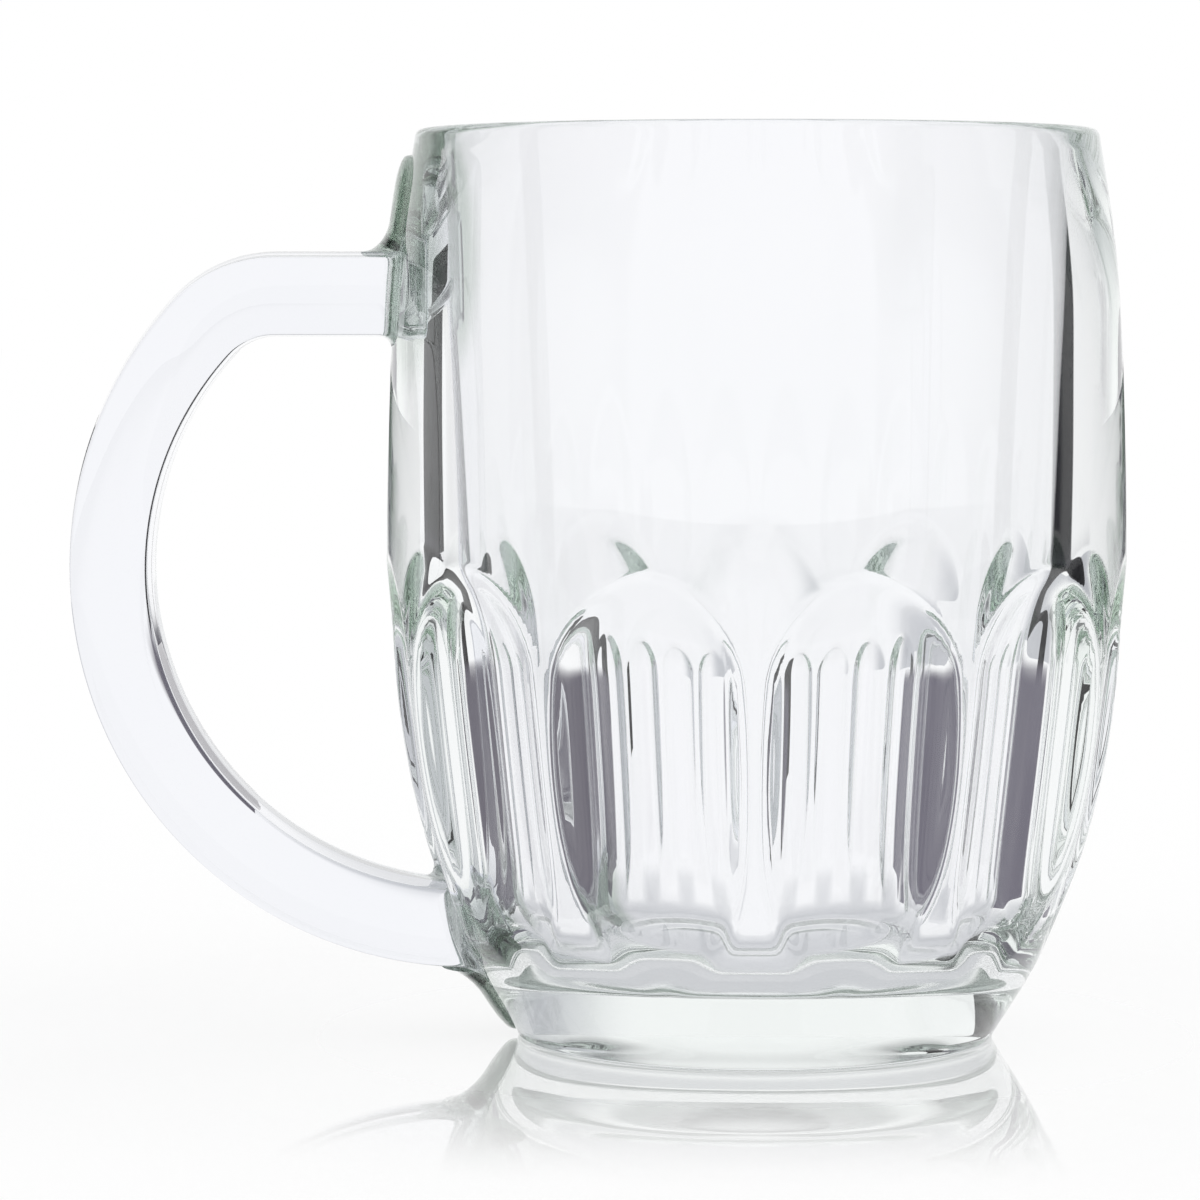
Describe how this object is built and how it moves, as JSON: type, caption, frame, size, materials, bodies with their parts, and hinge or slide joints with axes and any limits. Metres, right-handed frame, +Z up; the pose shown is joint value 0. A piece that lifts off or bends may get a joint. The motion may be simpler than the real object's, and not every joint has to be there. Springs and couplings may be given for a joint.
{
  "type": "beer mug",
  "caption": "Barrel-shaped thick glass beer mug with round-topped flutes round its lower half and a bowed bar handle fused on through two glass pads.",
  "frame": {"origin": "on the body's axis, at the table plane that the foot's standing ring rests on", "axes": "+Z up along the body's axis, -X towards the handle, -Y towards the viewer of the picture, with one ridge between two flutes at -Y"},
  "size_m": [0.1537, 0.1075, 0.132],
  "materials": {
    "body_glass": "fire-polished clear pressed glass with a faint green-grey tint in its thickness",
    "handle_glass": "fire-polished clear glass"
  },
  "bodies": {
    "root": {"mug_body": "body_glass", "handle_bar": "handle_glass", "upper_handle_pad": "handle_glass", "lower_handle_pad": "handle_glass"}
  },
  "joints": []
}
